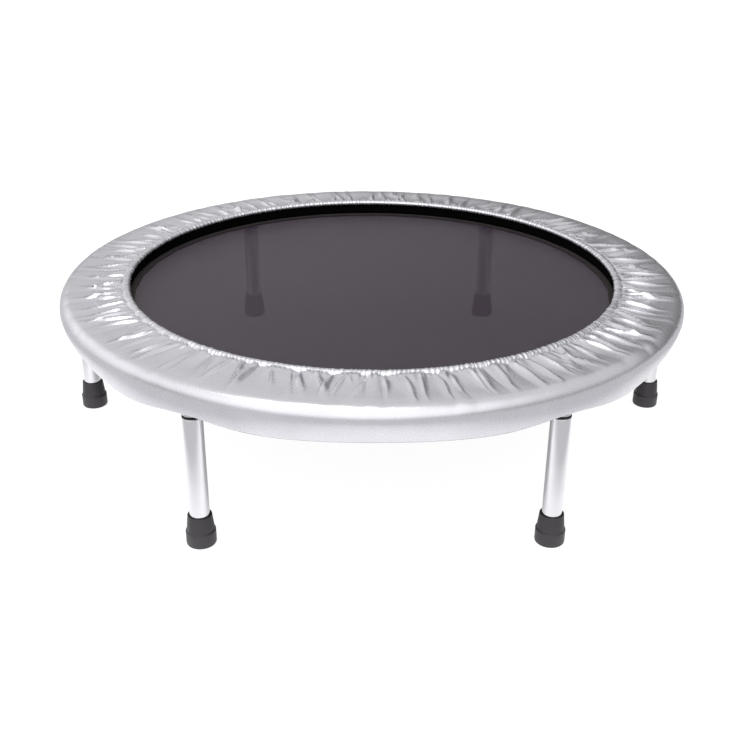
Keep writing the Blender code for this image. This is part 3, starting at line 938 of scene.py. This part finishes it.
def make_edge_band():
    """The webbing band folded over the mat's edge, straight from spring to spring."""
    gap = MAT_THICKNESS / 2 + TOUCH
    face = gap + BAND_THICKNESS
    inner = BAND_OUTER - BAND_WIDTH
    fold = BAND_OUTER + BAND_EDGE - face
    soft = 0.0003
    outline = [(inner, face - soft), (inner + soft, face)]
    outline += arc(face, 90, -90, 8, (fold, 0.0))
    outline += [(inner + soft, -face), (inner, -face + soft), (inner, -gap)]
    outline += [(MAT_RADIUS + TOUCH, -gap), (MAT_RADIUS + TOUCH, gap), (inner, gap)]
    band = turned("edge_band", outline, SPRING_COUNT, BAND_WEBBING, closed=True, smooth_below_deg=35.0)
    band.data.transform(spring_place(0, 0))
    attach(band, "mat")
    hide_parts("mat_edge_band")


def on_mat(piece):
    """Moves a ring or a tab with the mat."""
    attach(piece, "mat")


def make_mat_rings():
    """The steel rings at the mat's corners, each in its webbing tab."""
    places = [spring_place(k, MAT_RING_RADIUS) for k in range(SPRING_COUNT)]
    base = MAT_RING_BASE_WIDTH / 2
    tip = MAT_RING_TIP_WIDTH / 2
    path = [(0, -base, 0), (MAT_RING_LENGTH, -tip, 0), (MAT_RING_LENGTH, tip, 0), (0, base, 0)]
    route = rounded_corners(path, WIRE_BEND, closed=True)
    ring = wire("mat_ring", route, MAT_RING_WIRE, SPRING_STEEL, closed=True)
    repeat(ring, "mat_ring_%02d", places, on_mat)

    # The tab's tail lies under the band. Its front goes round the ring's wire and ends above it.
    slack = 0.0001
    under_band = -(MAT_THICKNESS / 2 + TOUCH + BAND_THICKNESS + TAB_THICKNESS / 2 + slack)
    line = [(x, under_band) for x in (-TAB_TAIL, -0.0060, -0.0028)]
    line += [(-0.0012, under_band + slack)]
    line += arc(MAT_RING_WIRE / 2 + slack + TAB_THICKNESS / 2, -80, 130, 10)
    line += [(-0.0019, 0.0009)]
    tab = drawn_out("tab", strap_outline(line, TAB_THICKNESS), TAB_WIDTH, TAB_WEBBING)
    repeat(tab, "webbing_tab_%02d", places, on_mat)


def spring_route(length):
    """The wire of a spring: an open hook, a neck, the coils, and the same neck and hook turned round."""
    coil = (SPRING_BODY_DIAMETER - SPRING_WIRE) / 2
    hook = [(x, 0.0, z) for x, z in arc(HOOK_RADIUS, 236, 82, 7)]
    neck = [(HOOK_NECK * 0.72, 0.0, coil * 0.93)]
    points = COIL_TURNS * COIL_POINTS
    coils = []
    for k in range(points + 1):
        turn = 2 * pi * k / COIL_POINTS
        along = HOOK_NECK + (length - 2 * HOOK_NECK) * k / points
        coils.append((along, coil * sin(turn), coil * cos(turn)))
    first = hook + neck
    last = [(length - x, y, z) for x, y, z in reversed(first)]
    return first + coils + last


def make_springs():
    """The extension springs, one on each spring's line between the mat and the ring."""
    hook = HOOK_RADIUS + SPRING_WIRE / 2
    length = SPRING_OUTER - SPRING_INNER - 2 * hook
    spring = wire("spring", spring_route(length), SPRING_WIRE, SPRING_STEEL)
    for k in range(SPRING_COUNT):
        place = spring_place(k, SPRING_INNER + hook)
        twin = copy_at(spring, "coil_spring_%02d" % (k + 1), place)
        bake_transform(twin)
        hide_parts("spring_%02d" % (k + 1))
    bpy.data.objects.remove(spring)


def on_frame(piece):
    """Fixes a piece of the ring's own steel to the frame."""
    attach(piece, "frame")


def make_ring():
    """The bent tube with its leg bosses, spring loops and welds."""
    section = arc(TUBE_RADIUS, 0, 360 - 360 / TUBE_SIDES, TUBE_SIDES - 1, (RING_RADIUS, RING_HEIGHT))
    tube = turned("ring_tube", section, RING_STEPS, RING_STEEL, closed=True)
    on_frame(tube)
    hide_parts("frame_ring")

    # The bosses reach up into the tube's underside.
    places = [leg_place(k) for k in range(LEG_COUNT)]
    outer = BOSS_DIAMETER / 2
    soft = 0.0006
    low = RING_LOW.z
    high = RING_HEIGHT - TUBE_RADIUS * 0.75
    outline = [(STUD_HOLE_RADIUS, high), (STUD_HOLE_RADIUS, low + soft), (STUD_HOLE_RADIUS + soft, low)]
    outline += [(outer - BOSS_CHAMFER, low), (outer, low + BOSS_CHAMFER), (outer, high)]
    boss = turned("boss", outline, ROUND_STEPS, RING_STEEL, closed=True)
    repeat(boss, "leg_boss_%d", places, on_frame)

    # The weld runs where a boss's side meets the tube's surface. Its bead is thick at every third point.
    route = []
    swell = []
    for k in range(WELD_POINTS):
        turn = 2 * pi * k / WELD_POINTS
        x = outer * cos(turn)
        y = outer * sin(turn)
        off_ring = hypot(RING_RADIUS + x, y) - RING_RADIUS
        route.append((x, y, RING_HEIGHT - sqrt(TUBE_RADIUS**2 - off_ring**2)))
        swell.append(1.0 + 0.12 * (k % 3))
    bead = wire("weld", route, 2 * WELD_BEAD, RING_STEEL, closed=True, swell=swell)
    repeat(bead, "boss_weld_%d", places, on_frame)

    half = LOOP_WIDTH / 2
    path = [(LOOP_REACH, -half, 0), (0, -half, 0), (0, half, 0), (LOOP_REACH, half, 0)]
    loop = wire("loop", rounded_corners(path, WIRE_BEND, closed=False), LOOP_WIRE, RING_STEEL)
    spots = [spring_place(k, LOOP_BAR_RADIUS) for k in range(SPRING_COUNT)]
    repeat(loop, "spring_loop_%02d", spots, on_frame)


def leg_tube_outline():
    """Half the section of a leg: open tube with a rolled lip, the plug in its top, and the plain stud."""
    inner = LEG_RADIUS - LEG_WALL
    plug_low = LEG_TOP - 0.008
    stud_top = LEG_HIGH.z
    chamfer = 0.001
    outline = [(0.0, plug_low), (inner, plug_low), (inner, LEG_LOW.z), (LEG_RADIUS, LEG_LOW.z)]
    outline += [(LEG_RADIUS, LEG_TOP - LEG_LIP)]
    outline += arc(LEG_LIP, 18, 90, 4, (LEG_RADIUS - LEG_LIP, LEG_TOP - LEG_LIP))
    outline += [(STUD_RADIUS, LEG_TOP), (STUD_RADIUS, stud_top - chamfer)]
    outline += [(STUD_RADIUS - chamfer, stud_top), (0.0, stud_top)]
    return outline


def thread_route():
    """The helix of a stud's thread, which keeps clear of both ends of the stud."""
    clear = 0.001
    turns = int((LEG_HIGH.z - LEG_TOP - 2 * clear) / STUD_PITCH)
    steps = 16
    route = []
    for k in range(turns * steps + 1):
        turn = 2 * pi * k / steps
        height = LEG_TOP + clear + STUD_PITCH * k / steps
        route.append((STUD_RADIUS * cos(turn), STUD_RADIUS * sin(turn), height))
    return route


def washer_outline():
    """The section of a washer, with its outer edges eased."""
    hole = 0.0052
    outer = (WASHER_HIGH.x - WASHER_LOW.x) / 2
    low = WASHER_LOW.z
    high = WASHER_HIGH.z
    soft = 0.0003
    outline = [(hole, low), (outer - soft, low), (outer, low + soft)]
    return outline + [(outer, high - soft), (outer - soft, high), (hole, high)]


def foot_outline():
    """Half the section of a foot: base, shoulder, flared collar with a rolled rim, and blind bore."""
    base = (FOOT_HIGH.x - FOOT_LOW.x) / 2
    top = FOOT_HIGH.z
    shoulder = 0.0190
    collar_low = 0.0175
    collar_top = 0.0154
    bore = LEG_RADIUS + 0.0002
    bore_end = LEG_LOW.z - TOUCH
    base_edge = 0.0022
    shoulder_edge = 0.0012
    rim = 0.0009
    outline = [(0.0, 0.0), (base - base_edge, 0.0)]
    outline += arc(base_edge, -90, 0, 4, (base - base_edge, base_edge))[1:]
    outline += arc(shoulder_edge, 0, 70, 4, (base - shoulder_edge, shoulder - 0.0004))
    outline += [(collar_low + 0.0003, shoulder + 0.0010), (collar_low, shoulder + 0.0018)]
    outline += arc(rim, 10, 170, 6, (collar_top - rim, top - rim))
    outline += [(bore, top - 0.0010), (bore, bore_end), (0.0, bore_end)]
    return outline


def make_legs():
    """The screw-in legs: bright tube with a threaded stud on top, washer, and rubber foot."""
    tube = turned("leg", leg_tube_outline(), ROUND_STEPS, BRIGHT_TUBE)
    thread = wire("thread", thread_route(), 2 * THREAD_DEPTH, BRIGHT_TUBE)
    washer = turned("washer", washer_outline(), ROUND_STEPS, BLACK_PLASTIC, closed=True)
    foot = turned("foot", foot_outline(), ROUND_STEPS, FOOT_RUBBER)
    for number in range(1, LEG_COUNT + 1):
        for pattern, name, body, node, slot in (
            (tube, "leg_tube", "leg", "screw_leg", "leg_chrome"),
            (thread, "leg_thread", "leg", None, "leg_chrome"),
            (washer, "washer", "washer", "leg_washer", "washer_black"),
            (foot, "foot", "leg", "rubber_foot", "foot_rubber"),
        ):
            twin = copy_at(pattern, "%s_%d" % (name, number), leg_place(number - 1))
            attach(twin, "%s_%d" % (body, number))
            if node:
                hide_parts("%s_%d" % (node, number))
    for pattern in (tube, thread, washer, foot):
        bpy.data.objects.remove(pattern)


# The studio: a plain pale floor, soft light and the photograph's camera.


def make_floor():
    """A wide pale floor, with a glow of its own for the light that a white floor throws back up."""
    bpy.ops.mesh.primitive_circle_add(vertices=96, radius=14.0, fill_type="NGON", location=(0, 0, -0.0004))
    floor = bpy.context.object
    finish, tree, coords = new_finish("pale_floor")
    seen = add_node(tree, "ShaderNodeLightPath").outputs["Is Camera Ray"]
    distance = add_node(tree, "ShaderNodeVectorMath", {0: coords}, operation="LENGTH").outputs["Value"]

    near = ramp(tree, distance, *GLOW_FADES, FLOOR_GLOW, 0.0)
    outside = ramp(tree, distance, *GLOW_RISES, GLOW_BELOW, 1.0)
    seen_white = sum_of(tree, "MULTIPLY", seen, FLOOR_SEEN)
    below = add_node(tree, "ShaderNodeNewGeometry").outputs["Backfacing"]
    shaded(
        finish,
        base_color=blend_colours(tree, seen, (0.60, 0.60, 0.61), (0.24, 0.24, 0.24)),
        roughness=0.9,
        specular_ior_level=0.0,
        emission_color=(1.0, 1.0, 1.0, 1.0),
        emission_strength=sum_of(tree, "MAXIMUM", sum_of(tree, "MULTIPLY", near, outside), seen_white),
        alpha=sum_of(tree, "SUBTRACT", 1.0, below),
    )
    finished(floor, "floor", finish)


def light_room():
    """A bright room, paler upwards: a soft window in front, a fainter one at the left and a dim corner."""
    world = bpy.context.scene.world or bpy.data.worlds.new("studio")
    bpy.context.scene.world = world
    world.use_nodes = True
    room = world.node_tree
    background = room.nodes["Background"]
    ways = add_node(room, "ShaderNodeTexCoord").outputs["Generated"]
    up = add_node(room, "ShaderNodeSeparateXYZ", {0: ways}).outputs["Z"]
    walls = add_node(room, "ShaderNodeValToRGB", {"Fac": up})
    stops = walls.color_ramp.elements
    while len(stops) < len(WALL_LEVELS):
        stops.new(0.5)
    for stop, (place, level) in zip(stops, WALL_LEVELS):
        stop.position = place
        stop.color = (level, level, level * 1.02, 1.0)

    def patch(way, edge, middle, outside, inside):
        """A soft round patch: its direction, the cosines at its edge and its middle, and its two values."""
        facing = add_node(room, "ShaderNodeVectorMath", {0: ways, 1: way}, operation="DOT_PRODUCT")
        value = facing.outputs["Value"]
        return ramp(room, value, edge, middle, outside, inside, interpolation_type="SMOOTHSTEP")

    ceiling = ramp(room, up, 0.5, 0.75, 0.0, 1.0)
    dark_corner = patch((0.62, 0.78, 0.0), 0.68, 0.92, 1.0, 0.22)
    front_window = patch((-0.18, -0.68, 0.70), 0.39, 0.92, 0.0, 0.79)
    left_window = patch((-0.87, 0.42, 0.24), 0.74, 0.96, 0.0, 0.52)
    windows = sum_of(room, "ADD", front_window, left_window)
    dim = blend(room, ceiling, dark_corner, 1.0)
    level = sum_of(room, "MULTIPLY_ADD", walls.outputs["Color"], dim, windows)
    background.inputs["Color"].default_value = (0.985, 0.985, 1.0, 1.0)

    # The camera sees plain white behind the floor.
    seen = add_node(room, "ShaderNodeLightPath").outputs["Is Camera Ray"]
    room.links.new(sum_of(room, "MAXIMUM", level, seen), background.inputs["Strength"])


def make_key_light():
    """A soft light over the object, a little to the left and the front, turned towards it."""
    light = bpy.data.lights.new("key_light", "AREA")
    light.shape = "SQUARE"
    light.size = 1.2
    light.energy = 10.0
    lamp = bpy.data.objects.new("key_light", light)
    place = Vector((-0.5, -0.3, 2.6))
    target = Vector((0, 0, 0.2))
    turn = (target - place).to_track_quat("-Z", "Y")
    lamp.matrix_world = Matrix.Translation(place) @ turn.to_matrix().to_4x4()
    bpy.context.scene.collection.objects.link(lamp)


def make_camera():
    """The photograph's camera."""
    pitch = radians(CAMERA_PITCH_DEG)
    pan = radians(CAMERA_PAN_DEG)
    roll = radians(CAMERA_ROLL_DEG)
    ahead = Vector((sin(pan) * cos(pitch), cos(pan) * cos(pitch), -sin(pitch)))
    level = Vector((cos(pan), -sin(pan), 0.0))
    upright = level.cross(ahead)
    right = level * cos(roll) + upright * sin(roll)
    up = upright * cos(roll) - level * sin(roll)
    turn = Matrix((right, up, -ahead)).transposed().to_4x4()
    camera = bpy.data.objects.new("camera", bpy.data.cameras.new("camera"))
    camera.data.lens = CAMERA_LENS
    camera.data.sensor_width = CAMERA_SENSOR
    camera.matrix_world = Matrix.Translation(Vector(CAMERA_PLACE)) @ turn
    bpy.context.scene.collection.objects.link(camera)
    bpy.context.scene.camera = camera


make_camera()
make_ring()
make_skirt()
make_shade_sheet_under_hem()
make_elastics()
make_mat()
make_edge_band()
make_mat_rings()
make_springs()
make_legs()
make_floor()
light_room()
make_key_light()

bpy.context.scene.view_settings.view_transform = "Standard"
